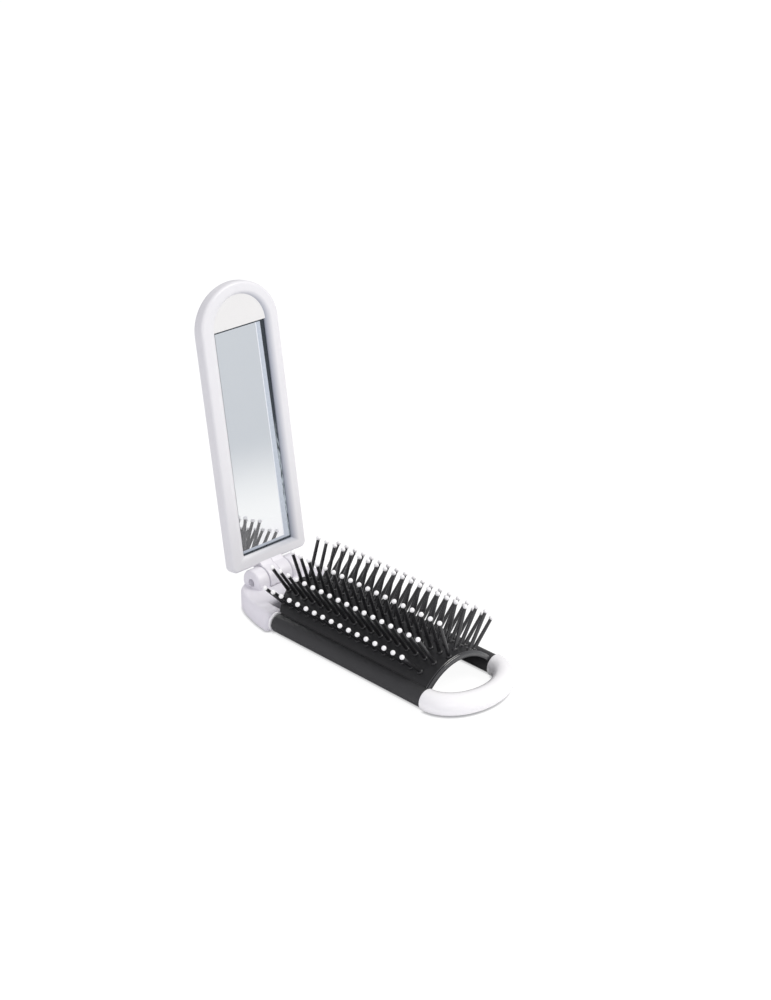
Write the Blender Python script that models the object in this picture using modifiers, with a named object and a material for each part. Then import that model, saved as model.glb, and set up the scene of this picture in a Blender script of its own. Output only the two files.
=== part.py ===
"""Folding pocket hair brush with a mirror lid.

Metres, +Z up. The origin is the middle of the hinge yoke's underside, straight below the hinge pin.
+X runs from the hinge to the end loop, and Y is across. The lid is modelled open, as in the photo.
The arched pad is cut along its length into one strip for each pin row, since the strips swing when it snaps through.
"""

from math import cos, floor, pi, radians, sin, tan

import bmesh
import bpy
from mathutils import Matrix, Vector

# Pieces that touch on the real object stand this far apart.
FIT_GAP = 0.0003
# Cutters run past the faces that they cut by this much.
CUT_OVERRUN = 0.0010
MERGE_DISTANCE = 0.000002
SHARP_ANGLE = radians(35.0)
FLAT_ANGLE = radians(0.1)
TUBE_SIDES = 24

# Yoke: the rounded nose that joins the rails at the hinge.
YOKE_FRONT_X = 0.0193
YOKE_BACK = 0.0058
YOKE_TOP_Z = 0.0081
YOKE_ROUND = 0.0015
YOKE_CROSSBAR = 0.00605
YOKE_ARM_WALL = 0.0005
YOKE_ROUND_ANGLE = radians(50.0)
# Half of the yoke's outline from the front corner round to the back: along its length, and across its half width.
YOKE_SIDE_SHARES = (
    (1.0, 1.0),
    (0.75, 0.966),
    (0.51, 0.892),
    (0.30, 0.804),
    (0.147, 0.691),
    (0.052, 0.539),
    (0.008, 0.343),
    (0.0, 0.123),
)

# Rails: the white bow and the two black sleeves on it.
RAIL_Y = 0.0165
LOOP_RADIUS = 0.0039
LOOP_REACH = 0.0125
LOOP_STUB = 0.0004
LOOP_STEPS = 24
ROD_RADIUS = 0.0023
SOCKET_DEPTH = 0.0066
COLLAR_RADIUS = 0.0037
COLLAR_LENGTH = 0.0011
SLEEVE_RADIUS = 0.0034
SLEEVE_LENGTH = 0.0737
FIN_HEIGHT = 0.0011
FIN_WIDTH = 0.0018
FIN_ANGLE = radians(135.0)

RAIL_Z = LOOP_RADIUS
YOKE_HALF_WIDTH = RAIL_Y + LOOP_RADIUS
BORE_RADIUS = ROD_RADIUS + FIT_GAP
SOCKET_END_X = YOKE_FRONT_X - SOCKET_DEPTH
COLLAR_START_X = YOKE_FRONT_X + FIT_GAP
SLEEVE_START_X = COLLAR_START_X + COLLAR_LENGTH + FIT_GAP
SLEEVE_END_X = SLEEVE_START_X + SLEEVE_LENGTH
LOOP_START_X = SLEEVE_END_X + FIT_GAP
YOKE_INNER_Y = RAIL_Y - BORE_RADIUS - YOKE_ARM_WALL

# Hinge.
HINGE_Z = 0.0098
BARREL_RADIUS = 0.0048
TROUGH_CLEARANCE = 0.00035
LUG_HALF_WIDTH = 0.0052
KNUCKLE_LENGTH = 0.0052
KNUCKLE_ROUND = 0.0008
KNUCKLE_ROUND_STEPS = 2
HINGE_PIN_RADIUS = 0.0013
HINGE_PIN_RECESS = 0.0014
BARREL_SIDES = 40

TROUGH_RADIUS = BARREL_RADIUS + TROUGH_CLEARANCE
KNUCKLE_INNER_Y = LUG_HALF_WIDTH + FIT_GAP
KNUCKLE_OUTER_Y = KNUCKLE_INNER_Y + KNUCKLE_LENGTH
PIN_HOLE_RADIUS = HINGE_PIN_RADIUS + FIT_GAP
YOKE_WINDOW_X = TROUGH_RADIUS + YOKE_CROSSBAR

# Pad: an arch over the rails, of six strips.
PAD_START_GAP = 0.0033
PAD_THICKNESS = 0.0011
ARCH_RISE = 0.0094
ARCH_OVERHANG = 0.00035
STRIP_STEP = radians(14.6)

PAD_START_X = YOKE_WINDOW_X + PAD_START_GAP
PAD_END_X = SLEEVE_END_X
PIN_ROOT = PAD_THICKNESS / 2.0
ARCH_SPAN = RAIL_Y + ARCH_OVERHANG
ARCH_RADIUS = (ARCH_SPAN ** 2 + ARCH_RISE ** 2) / (2.0 * ARCH_RISE)
ARCH_CENTRE_Z = RAIL_Z + ARCH_RISE - ARCH_RADIUS
STRIP_PITCH = ARCH_RADIUS * STRIP_STEP

# Pins, from the two middle rows out to the two edge rows: their lean from upright, their length as a share of the
# longest, their strip's reach to its inner and outer side as shares of the strips' pitch, and the strip's swing.
PIN_LEANS = (radians(18.0), radians(33.0), radians(44.0))
PIN_LENGTH_SHARES = (1.0, 0.928, 0.811)
STRIP_INNER_SHARES = (0.387, 0.375, 0.386)
STRIP_OUTER_SHARES = (0.387, 0.375, 0.357)
STRIP_SWINGS = (radians(12.5), radians(41.3), radians(70.0))
# The rows stand half a pitch apart by turns: half pitches back from the pin nearest the loop, front row first.
ROW_STAGGERS = (2, 1, 0, 1, 0, 1)
PIN_LENGTH = 0.01535
PIN_PITCH = 0.00428
PIN_END_MARGIN = 0.0022
PIN_BASE_RADIUS = 0.0007
PIN_NECK_RADIUS = 0.00058
BALL_RADIUS = 0.00085
BALL_NECK_SHARE = 0.88
BALL_TOP_SHARE = 0.72
PIN_SIDES = 4

# Lid, in its own frame: Z up along the lid from the pin, X out of the mirror.
LID_LEAN = radians(8.2)
LID_BOTTOM = 0.00515
LID_LENGTH = 0.10445
LID_HALF_WIDTH = 0.0177
LID_ARCH = 0.0163
LID_CORNER = 0.0024
LID_DEPTH = 0.00526
LID_RIM_SETBACK = 0.00044
LID_ROUND = 0.0018
LID_WALL = 0.0015
LID_RIM_WIDTH = 0.0024
LID_ARCH_STEPS = 28
LID_CORNER_STEPS = 5
LID_ROUND_STEPS = 3
WEB_SETBACK = 0.0010
WEB_THICKNESS = 0.0040
PANEL_SINK = 0.0002
GLASS_SIDE_MARGIN = 0.0062
GLASS_HEAD_MARGIN = 0.0159
GLASS_THICKNESS = 0.00157
GLASS_FOOT_MARGIN = 0.00515
TAPE_THICKNESS = 0.0007
TAPE_INSET = 0.0020

LID_TOP = LID_BOTTOM + LID_LENGTH
LID_RIM_X = -LID_RIM_SETBACK
LID_BACK_X = LID_RIM_X - LID_DEPTH
LID_FLOOR_X = LID_BACK_X + LID_WALL
WEB_BACK_X = LID_BACK_X + WEB_SETBACK
PANEL_BACK_X = LID_FLOOR_X + FIT_GAP
PANEL_FRONT_X = LID_RIM_X - PANEL_SINK
TAPE_BACK_X = LID_FLOOR_X + FIT_GAP
TAPE_FRONT_X = TAPE_BACK_X + TAPE_THICKNESS
GLASS_BACK_X = TAPE_FRONT_X + FIT_GAP
GLASS_FRONT_X = GLASS_BACK_X + GLASS_THICKNESS
GLASS_BOTTOM = LID_BOTTOM + GLASS_FOOT_MARGIN
GLASS_TOP = LID_TOP - GLASS_HEAD_MARGIN
GLASS_HALF_WIDTH = LID_HALF_WIDTH - GLASS_SIDE_MARGIN

# Looks: base colour, roughness and metallic value.
GLOSSY_WHITE = ((0.86, 0.85, 0.88), 0.22, 0.0)
SATIN_WHITE = ((0.86, 0.85, 0.88), 0.30, 0.0)
SLEEVE_BLACK = ((0.040, 0.041, 0.044), 0.50, 0.0)
PAD_BLACK = ((0.028, 0.029, 0.031), 0.60, 0.0)
PIN_STEEL = ((0.60, 0.60, 0.62), 0.30, 1.0)
SILVERED = ((0.90, 0.92, 0.94), 0.02, 1.0)
FOAM_WHITE = ((0.75, 0.75, 0.73), 0.90, 0.0)

for old in list(bpy.data.objects):
    bpy.data.objects.remove(old)
for old in list(bpy.data.collections):
    bpy.data.collections.remove(old)

parts = bpy.data.collections.new("pocket_mirror_brush")
cutters = bpy.data.collections.new("cutters")
bpy.context.scene.collection.children.link(parts)
bpy.context.scene.collection.children.link(cutters)


def material(name, colour, roughness, metallic):
    made = bpy.data.materials.new(name)
    made.use_nodes = True
    shader = made.node_tree.nodes["Principled BSDF"]
    shader.inputs["Base Color"].default_value = (*colour, 1.0)
    shader.inputs["Roughness"].default_value = roughness
    shader.inputs["Metallic"].default_value = metallic
    return made


def shade(mesh):
    """Smooth faces, with sharp edges where two faces meet at more than the sharp angle."""
    mesh.shade_smooth()
    mesh.set_sharp_from_angle(angle=SHARP_ANGLE)


def add_object(name, mesh, look):
    """An object of the part where it has a look, and otherwise a cutter."""
    made = bpy.data.objects.new(name, mesh)
    if look is None:
        cutters.objects.link(made)
        made.hide_render = True
        made.display_type = "WIRE"
    else:
        parts.objects.link(made)
        made.data.materials.append(material(name + "_look", *look))
    return made


def from_bmesh(name, work, look=None):
    bmesh.ops.remove_doubles(work, verts=work.verts, dist=MERGE_DISTANCE)
    bmesh.ops.dissolve_degenerate(work, edges=work.edges, dist=MERGE_DISTANCE)
    bmesh.ops.recalc_face_normals(work, faces=work.faces)
    mesh = bpy.data.meshes.new(name)
    work.to_mesh(mesh)
    work.free()
    shade(mesh)
    return add_object(name, mesh, look)


def evaluated_bmesh(made):
    """A bmesh of an object with its modifiers or its curve's shape applied."""
    bpy.context.view_layer.update()
    graph = bpy.context.evaluated_depsgraph_get()
    mesh = bpy.data.meshes.new_from_object(made.evaluated_get(graph))
    work = bmesh.new()
    work.from_mesh(mesh)
    bpy.data.meshes.remove(mesh)
    return work


def box(name, low, high, look=None):
    work = bmesh.new()
    middle = (Vector(low) + Vector(high)) / 2.0
    bmesh.ops.create_cube(work, size=1.0, matrix=Matrix.LocRotScale(middle, None, Vector(high) - Vector(low)))
    return from_bmesh(name, work, look)


def cylinder(name, start, end, radius, sides, look=None, end_round=0.0):
    """A cylinder between two points, with a rounded rim at its end where one is asked for."""
    start = Vector(start)
    end = Vector(end)
    way = end - start
    turn = Vector((0.0, 0.0, 1.0)).rotation_difference(way)
    work = bmesh.new()
    bmesh.ops.create_cone(
        work,
        cap_ends=True,
        segments=sides,
        radius1=radius,
        radius2=radius,
        depth=way.length,
        matrix=Matrix.LocRotScale((start + end) / 2.0, turn, None),
    )
    if end_round > 0.0:
        middle = (start + end) / 2.0
        rim = [edge for edge in work.edges if all((vert.co - middle).dot(way) > 0.0 for vert in edge.verts)]
        bmesh.ops.bevel(work, geom=rim, offset=end_round, segments=KNUCKLE_ROUND_STEPS, profile=0.5, affect="EDGES")
    return from_bmesh(name, work, look)


def slab(name, outline, low, high, look=None, turn=None):
    """A flat outline of (x, y) points, thick from low to high along Z, and then turned if asked."""
    curve = bpy.data.curves.new(name, "CURVE")
    curve.dimensions = "2D"
    curve.fill_mode = "BOTH"
    curve.extrude = (high - low) / 2.0
    spline = curve.splines.new("POLY")
    spline.points.add(len(outline) - 1)
    for point, (x, y) in zip(spline.points, outline):
        point.co = (x, y, 0.0, 1.0)
    spline.use_cyclic_u = True
    return from_curve(name, curve, look, (turn or Matrix()) @ Matrix.Translation((0.0, 0.0, (low + high) / 2.0)))


def from_curve(name, curve, look, place=Matrix()):
    """A closed mesh object of a curve, with flat faces left whole."""
    drawn = bpy.data.objects.new(name, curve)
    bpy.context.scene.collection.objects.link(drawn)
    work = evaluated_bmesh(drawn)
    bpy.data.objects.remove(drawn)
    bmesh.ops.remove_doubles(work, verts=work.verts, dist=MERGE_DISTANCE)
    bmesh.ops.dissolve_limit(work, angle_limit=FLAT_ANGLE, verts=work.verts, edges=work.edges)
    bmesh.ops.transform(work, matrix=place, verts=work.verts)
    return from_bmesh(name, work, look)


def boolean(made, tool, operation):
    step = made.modifiers.new(tool.name, "BOOLEAN")
    step.object = tool
    step.operation = operation
    step.solver = "EXACT"


def bake(made):
    """Keep what the modifiers make as the object's own mesh."""
    work = evaluated_bmesh(made)
    made.modifiers.clear()
    bmesh.ops.remove_doubles(work, verts=work.verts, dist=MERGE_DISTANCE)
    bmesh.ops.dissolve_degenerate(work, edges=work.edges, dist=MERGE_DISTANCE)
    work.to_mesh(made.data)
    work.free()
    shade(made.data)


def hinge_line(reach_from, reach_to, height=HINGE_Z):
    """Two points on the hinge's axis."""
    return (0.0, reach_from, height), (0.0, reach_to, height)


def bow():
    """The end loop and the two rods that run back inside the sleeves, as one piece."""
    curve = bpy.data.curves.new("bow", "CURVE")
    curve.dimensions = "3D"
    curve.bevel_depth = LOOP_RADIUS
    curve.bevel_resolution = TUBE_SIDES // 2 - 2
    curve.use_fill_caps = True
    path = [(LOOP_START_X, -RAIL_Y)]
    for step in range(LOOP_STEPS + 1):
        turn = -pi / 2.0 + pi * step / LOOP_STEPS
        path.append((LOOP_START_X + LOOP_STUB + (LOOP_REACH - LOOP_STUB) * cos(turn), RAIL_Y * sin(turn)))
    path.append((LOOP_START_X, RAIL_Y))
    spline = curve.splines.new("POLY")
    spline.points.add(len(path) - 1)
    for point, (x, y) in zip(spline.points, path):
        point.co = (x, y, RAIL_Z, 1.0)
    made = from_curve("bow", curve, GLOSSY_WHITE)
    for side in (-1.0, 1.0):
        rod = cylinder(
            f"rod_{'front' if side < 0.0 else 'rear'}",
            (SOCKET_END_X + FIT_GAP, side * RAIL_Y, RAIL_Z),
            (LOOP_START_X + LOOP_STUB, side * RAIL_Y, RAIL_Z),
            ROD_RADIUS,
            TUBE_SIDES,
        )
        boolean(made, rod, "UNION")
    bake(made)


def sleeve(name, side):
    """A black tube round one rod, with the fin that the pad hangs from on its inner side."""
    made = cylinder(name, (SLEEVE_START_X, 0.0, 0.0), (SLEEVE_END_X, 0.0, 0.0), SLEEVE_RADIUS, 2 * TUBE_SIDES,
                    SLEEVE_BLACK)
    fin = box(
        name + "_fin",
        (SLEEVE_START_X, (BORE_RADIUS + SLEEVE_RADIUS) / 2.0, -FIN_WIDTH / 2.0),
        (SLEEVE_END_X, SLEEVE_RADIUS + FIN_HEIGHT, FIN_WIDTH / 2.0),
    )
    fin.rotation_euler = (FIN_ANGLE if side > 0.0 else pi - FIN_ANGLE, 0.0, 0.0)
    boolean(made, fin, "UNION")
    bore = cylinder(name + "_bore", (SLEEVE_START_X - CUT_OVERRUN, 0.0, 0.0), (SLEEVE_END_X + CUT_OVERRUN, 0.0, 0.0),
                    BORE_RADIUS, TUBE_SIDES)
    boolean(made, bore, "DIFFERENCE")
    bake(made)
    made.location = (0.0, side * RAIL_Y, RAIL_Z)


def pins(name, length, row_x, foot, lean):
    """Every pin of a row: each one is a profile turned once round its own axis."""
    profile = (
        (0.0, -PIN_ROOT),
        (PIN_BASE_RADIUS, -PIN_ROOT),
        (PIN_NECK_RADIUS, length - BALL_NECK_SHARE * BALL_RADIUS),
        (BALL_RADIUS, length),
        (BALL_TOP_SHARE * BALL_RADIUS, length + BALL_TOP_SHARE * BALL_RADIUS),
        (0.0, length + BALL_RADIUS),
    )
    work = bmesh.new()
    for x in row_x:
        points = [work.verts.new((radius, 0.0, height)) for radius, height in profile]
        lines = [work.edges.new(pair) for pair in zip(points, points[1:])]
        before = set(work.verts) - set(points)
        bmesh.ops.spin(work, geom=points + lines, axis=(0.0, 0.0, 1.0), angle=2.0 * pi, steps=PIN_SIDES,
                       use_merge=True)
        place = Matrix.Translation((x, foot.y, foot.z)) @ Matrix.Rotation(-lean, 4, "X")
        bmesh.ops.transform(work, matrix=place, verts=[vert for vert in work.verts if vert not in before])
    return from_bmesh(name, work)


def pad_row(number, stagger):
    """One strip of the pad with its pins. Its origin is on its swing axis, level with the rails."""
    side = -1.0 if number <= len(ROW_STAGGERS) // 2 else 1.0
    place = floor(abs(number - (len(ROW_STAGGERS) + 1) / 2.0))
    arch_angle = STRIP_STEP * (place + 0.5)
    height = ARCH_CENTRE_Z + ARCH_RADIUS * cos(arch_angle) - RAIL_Z
    swing_reach = height / tan(STRIP_SWINGS[place] / 2.0)
    tilt = Matrix.Rotation(side * arch_angle, 3, "X")
    foot = tilt @ Vector((0.0, -side * swing_reach, height))
    reaches = (-STRIP_INNER_SHARES[place] * STRIP_PITCH, STRIP_OUTER_SHARES[place] * STRIP_PITCH)
    near_y, far_y = sorted(side * reach for reach in reaches)
    name = f"pad_row_{number}"
    made = box(
        name,
        (PAD_START_X, foot.y + near_y, foot.z - PAD_THICKNESS),
        (PAD_END_X, foot.y + far_y, foot.z),
        PAD_BLACK,
    )
    last_x = PAD_END_X - PIN_END_MARGIN - PIN_BASE_RADIUS - stagger * PIN_PITCH / 2.0
    count = 1 + floor((last_x - PAD_START_X - PIN_END_MARGIN) / PIN_PITCH)
    row_x = [last_x - PIN_PITCH * step for step in range(count)]
    lean = side * (PIN_LEANS[place] - arch_angle)
    boolean(made, pins(name + "_pins", PIN_LENGTH * PIN_LENGTH_SHARES[place], row_x, foot, lean), "UNION")
    bake(made)
    made.location = (0.0, side * (ARCH_RADIUS * sin(arch_angle) + swing_reach), RAIL_Z)
    made.rotation_euler = (-side * arch_angle, 0.0, 0.0)
    print(f"{name}: {count} pins, axis y {made.location.y:.6f}, swing {side * STRIP_SWINGS[place] * 180.0 / pi:.1f}")


def yoke():
    length = YOKE_FRONT_X + YOKE_BACK
    side_points = [(along * length - YOKE_BACK, across * YOKE_HALF_WIDTH) for along, across in YOKE_SIDE_SHARES]
    outline = [(x, -y) for x, y in side_points] + list(reversed(side_points)) + [
        (YOKE_FRONT_X, YOKE_INNER_Y),
        (YOKE_WINDOW_X, YOKE_INNER_Y),
        (YOKE_WINDOW_X, -YOKE_INNER_Y),
        (YOKE_FRONT_X, -YOKE_INNER_Y),
    ]
    made = slab("yoke", outline, 0.0, YOKE_TOP_Z, SATIN_WHITE)
    rounding = made.modifiers.new("rounding", "BEVEL")
    rounding.width = YOKE_ROUND
    rounding.segments = 3
    rounding.limit_method = "ANGLE"
    rounding.angle_limit = YOKE_ROUND_ANGLE
    for side in (-1.0, 1.0):
        ends = hinge_line(side * KNUCKLE_INNER_Y, side * KNUCKLE_OUTER_Y)
        knuckle = cylinder("knuckle", *ends, BARREL_RADIUS, BARREL_SIDES, end_round=KNUCKLE_ROUND)
        boolean(made, knuckle, "UNION")
    trough = cylinder("trough", *hinge_line(-KNUCKLE_INNER_Y, KNUCKLE_INNER_Y), TROUGH_RADIUS, BARREL_SIDES)
    boolean(made, trough, "DIFFERENCE")
    slot = box(
        "slot",
        (-YOKE_BACK - CUT_OVERRUN, -KNUCKLE_INNER_Y, HINGE_Z - TROUGH_RADIUS),
        (0.0, KNUCKLE_INNER_Y, HINGE_Z + TROUGH_RADIUS),
    )
    boolean(made, slot, "DIFFERENCE")
    reach = KNUCKLE_OUTER_Y + CUT_OVERRUN
    boolean(made, cylinder("pin_hole", *hinge_line(-reach, reach), PIN_HOLE_RADIUS, TUBE_SIDES), "DIFFERENCE")
    for side in (-1.0, 1.0):
        socket = cylinder(
            "socket",
            (SOCKET_END_X, side * RAIL_Y, RAIL_Z),
            (YOKE_FRONT_X + CUT_OVERRUN, side * RAIL_Y, RAIL_Z),
            BORE_RADIUS,
            TUBE_SIDES,
        )
        boolean(made, socket, "DIFFERENCE")
    bake(made)


def collar(name, side):
    """The white ring between the yoke's block and the sleeve."""
    end_x = COLLAR_START_X + COLLAR_LENGTH
    made = cylinder(name, (COLLAR_START_X, side * RAIL_Y, RAIL_Z), (end_x, side * RAIL_Y, RAIL_Z), COLLAR_RADIUS,
                    TUBE_SIDES, GLOSSY_WHITE)
    bore = cylinder(
        name + "_bore",
        (COLLAR_START_X - CUT_OVERRUN, side * RAIL_Y, RAIL_Z),
        (end_x + CUT_OVERRUN, side * RAIL_Y, RAIL_Z),
        BORE_RADIUS,
        TUBE_SIDES,
    )
    boolean(made, bore, "DIFFERENCE")
    bake(made)


def hinge_pin():
    half = KNUCKLE_OUTER_Y - HINGE_PIN_RECESS
    made = cylinder("hinge_pin", *hinge_line(-half, half, 0.0), HINGE_PIN_RADIUS, TUBE_SIDES, PIN_STEEL)
    made.location = (0.0, 0.0, HINGE_Z)


def lid_outline(inset):
    """The lid's outline as (y, z): square foot with rounded corners, elliptic head."""
    half = LID_HALF_WIDTH - inset
    foot = LID_BOTTOM + inset
    shoulder = LID_TOP - LID_ARCH
    corner = max(LID_CORNER - inset, LID_CORNER / LID_CORNER_STEPS)
    points = []
    for step in range(LID_CORNER_STEPS + 1):
        turn = 1.5 * pi + 0.5 * pi * step / LID_CORNER_STEPS
        points.append((half - corner + corner * cos(turn), foot + corner + corner * sin(turn)))
    for step in range(LID_ARCH_STEPS + 1):
        turn = pi * step / LID_ARCH_STEPS
        points.append((half * cos(turn), shoulder + (LID_ARCH - inset) * sin(turn)))
    for step in range(LID_CORNER_STEPS + 1):
        turn = pi + 0.5 * pi * step / LID_CORNER_STEPS
        points.append((-half + corner + corner * cos(turn), foot + corner + corner * sin(turn)))
    return points


def lid_slab(name, inset, back_x, front_x, look=None):
    """A slab of the lid's outline, drawn in (y, z) and thick along X."""
    upright = Matrix(((0.0, 0.0, 1.0, 0.0), (1.0, 0.0, 0.0, 0.0), (0.0, 1.0, 0.0, 0.0), (0.0, 0.0, 0.0, 1.0)))
    return slab(name, lid_outline(inset), back_x, front_x, look, upright)


def place_on_lid(made):
    made.location = (0.0, 0.0, HINGE_Z)
    made.rotation_euler = (0.0, -LID_LEAN, 0.0)


def lid_shell():
    """The outer cover with its raised rim and the hinge lug at its foot."""
    made = lid_slab("lid_shell", 0.0, LID_BACK_X, LID_RIM_X, GLOSSY_WHITE)
    rounding = made.modifiers.new("rounding", "BEVEL")
    rounding.width = LID_ROUND
    rounding.segments = LID_ROUND_STEPS
    rounding.limit_method = "ANGLE"
    barrel = cylinder("lid_barrel", *hinge_line(-LUG_HALF_WIDTH, LUG_HALF_WIDTH, 0.0), BARREL_RADIUS, BARREL_SIDES)
    boolean(made, barrel, "UNION")
    web = box(
        "lid_web",
        (WEB_BACK_X, -LUG_HALF_WIDTH, 0.0),
        (WEB_BACK_X + WEB_THICKNESS, LUG_HALF_WIDTH, LID_BOTTOM + LID_RIM_WIDTH / 2.0),
    )
    boolean(made, web, "UNION")
    boolean(made, lid_slab("lid_recess", LID_RIM_WIDTH, LID_FLOOR_X, CUT_OVERRUN), "DIFFERENCE")
    reach = LUG_HALF_WIDTH + CUT_OVERRUN
    boolean(made, cylinder("lid_hole", *hinge_line(-reach, reach, 0.0), PIN_HOLE_RADIUS, TUBE_SIDES), "DIFFERENCE")
    bake(made)
    place_on_lid(made)


def lid_panel():
    """The flat inner panel with the opening that frames the glass."""
    made = lid_slab("lid_panel", LID_RIM_WIDTH + FIT_GAP, PANEL_BACK_X, PANEL_FRONT_X, SATIN_WHITE)
    opening = box(
        "glass_opening",
        (PANEL_BACK_X - CUT_OVERRUN, -GLASS_HALF_WIDTH - FIT_GAP, GLASS_BOTTOM - FIT_GAP),
        (PANEL_FRONT_X + CUT_OVERRUN, GLASS_HALF_WIDTH + FIT_GAP, GLASS_TOP + FIT_GAP),
    )
    boolean(made, opening, "DIFFERENCE")
    bake(made)
    place_on_lid(made)


def mirror():
    glass = box(
        "mirror_glass",
        (GLASS_BACK_X, -GLASS_HALF_WIDTH, GLASS_BOTTOM),
        (GLASS_FRONT_X, GLASS_HALF_WIDTH, GLASS_TOP),
        SILVERED,
    )
    place_on_lid(glass)
    tape = box(
        "mirror_tape",
        (TAPE_BACK_X, -GLASS_HALF_WIDTH + TAPE_INSET, GLASS_BOTTOM + TAPE_INSET),
        (TAPE_FRONT_X, GLASS_HALF_WIDTH - TAPE_INSET, GLASS_TOP - TAPE_INSET),
        FOAM_WHITE,
    )
    place_on_lid(tape)


bow()
yoke()
collar("front_collar", -1.0)
collar("rear_collar", 1.0)
sleeve("front_sleeve", -1.0)
sleeve("rear_sleeve", 1.0)
for row_number, row_stagger in enumerate(ROW_STAGGERS, start=1):
    pad_row(row_number, row_stagger)
hinge_pin()
lid_shell()
lid_panel()
mirror()
for made in cutters.objects:
    made.hide_set(True)
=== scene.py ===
"""The looks of the folding pocket hair brush: a mirror lid, and white-tipped pins on a black rubber pad.

Metres, +Z up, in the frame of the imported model. The lid's pieces are drawn in the lid's own frame and then placed:
its Z runs up along the lid from the hinge pin, and its X out of the mirror.
"""

from math import cos, floor, pi, radians, sin

import bmesh
import bpy
from mathutils import Matrix, Vector


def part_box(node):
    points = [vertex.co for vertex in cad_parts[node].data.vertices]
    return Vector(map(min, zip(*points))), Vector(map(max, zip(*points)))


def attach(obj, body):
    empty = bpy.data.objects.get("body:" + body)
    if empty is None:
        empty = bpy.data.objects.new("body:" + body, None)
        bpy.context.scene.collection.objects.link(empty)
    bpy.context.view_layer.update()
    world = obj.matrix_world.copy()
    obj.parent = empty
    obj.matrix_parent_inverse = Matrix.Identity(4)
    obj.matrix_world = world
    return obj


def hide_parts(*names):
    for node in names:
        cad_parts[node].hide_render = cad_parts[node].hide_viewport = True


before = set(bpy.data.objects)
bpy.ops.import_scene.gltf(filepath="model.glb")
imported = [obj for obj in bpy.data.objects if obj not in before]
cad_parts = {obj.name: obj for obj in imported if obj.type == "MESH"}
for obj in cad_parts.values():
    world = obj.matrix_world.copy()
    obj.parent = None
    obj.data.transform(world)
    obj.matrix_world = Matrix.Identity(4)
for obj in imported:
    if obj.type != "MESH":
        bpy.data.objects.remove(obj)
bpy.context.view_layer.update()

MM = 0.001
X_AXIS = Vector((1.0, 0.0, 0.0))
Y_AXIS = Vector((0.0, 1.0, 0.0))
Z_AXIS = Vector((0.0, 0.0, 1.0))
# Cutters run past the faces that they cut by this much.
CUT_OVERRUN = 1.0 * MM
MERGE_DISTANCE = 0.002 * MM
# Pieces that touch on the real object stand this far apart, as in the solids.
FIT_GAP = 0.3 * MM
SHARP_ANGLE = radians(32.0)
EDGE_ROUND = 0.3 * MM
ROUND_STEPS = 5
TUBE_SIDES = 48
BARREL_SIDES = 64

# Camera, fitted to the photograph.
CAMERA_PLACE = Vector((480.13, -411.57, 334.46)) * MM
CAMERA_AIM = Vector((91.29, -31.72, 80.47)) * MM
CAMERA_LENS = 69.54
CAMERA_SENSOR = 36.0

# Rails. The loop starts at each sleeve with a short straight stub, whose end is rounded by its shoulder.
SLEEVE_LOW, SLEEVE_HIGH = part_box("front_sleeve")
COLLAR_LOW, COLLAR_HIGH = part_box("front_collar")
YOKE_LOW, YOKE_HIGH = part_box("yoke")
BOW_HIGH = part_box("bow")[1]
COLLAR_RADIUS = (COLLAR_HIGH.z - COLLAR_LOW.z) / 2.0
RAIL_Y = -(COLLAR_LOW.y + COLLAR_HIGH.y) / 2.0
RAIL_Z = (COLLAR_LOW.z + COLLAR_HIGH.z) / 2.0
LOOP_RADIUS = RAIL_Z
SLEEVE_RADIUS = -SLEEVE_LOW.y - RAIL_Y
LOOP_START_X = SLEEVE_HIGH.x + FIT_GAP
LOOP_REACH = BOW_HIGH.x - LOOP_RADIUS - LOOP_START_X
LOOP_STUB = 0.4 * MM
LOOP_SHOULDER = 0.7 * MM
LOOP_STEPS = 72
ROD_RADIUS = 2.3 * MM

# Yoke, with half of its outline as shares of its length and its half width.
YOKE_CORNER_Z = 8.1 * MM
YOKE_ROUND = 1.5 * MM
YOKE_CROSSBAR_X = 13.6 * MM
YOKE_INNER_Y = 13.4 * MM
YOKE_ARM_ROUND = 2.2 * MM
YOKE_SMOOTH_STEPS = 4
YOKE_SIDE_SHARES = (
    (1.0, 1.0),
    (0.75, 0.966),
    (0.51, 0.892),
    (0.30, 0.804),
    (0.147, 0.691),
    (0.052, 0.539),
    (0.008, 0.343),
    (0.0, 0.123),
)

# Hinge.
PIN_LOW, PIN_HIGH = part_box("hinge_pin")
HINGE = Vector((0.0, 0.0, (PIN_LOW.z + PIN_HIGH.z) / 2.0))
PIN_RADIUS = (PIN_HIGH.z - PIN_LOW.z) / 2.0
BARREL_RADIUS = 4.8 * MM
TROUGH_RADIUS = 5.15 * MM
LUG_HALF_WIDTH = 5.2 * MM
KNUCKLE_INNER_Y = 5.5 * MM
KNUCKLE_OUTER_Y = 10.7 * MM
KNUCKLE_ROUND = 0.8 * MM
PIN_HOLE_RADIUS = PIN_RADIUS + FIT_GAP
PIN_HOLE_DEPTH = 2.2 * MM

# Pad and pins. The rows' values run from the two middle rows out to the two edge rows.
PAD_START_X = 14.5 * MM
PAD_END_X = SLEEVE_HIGH.x
PAD_THICKNESS = 1.1 * MM
ARCH_RADIUS = 19.8023 * MM
ARCH_CENTRE_Z = -6.5023 * MM
STRIP_STEP = radians(14.6)
STRIP_ARC_STEPS = 6
SKIRT_REACH = radians(4.7)
SKIRT_ARC_STEPS = 2
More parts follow.
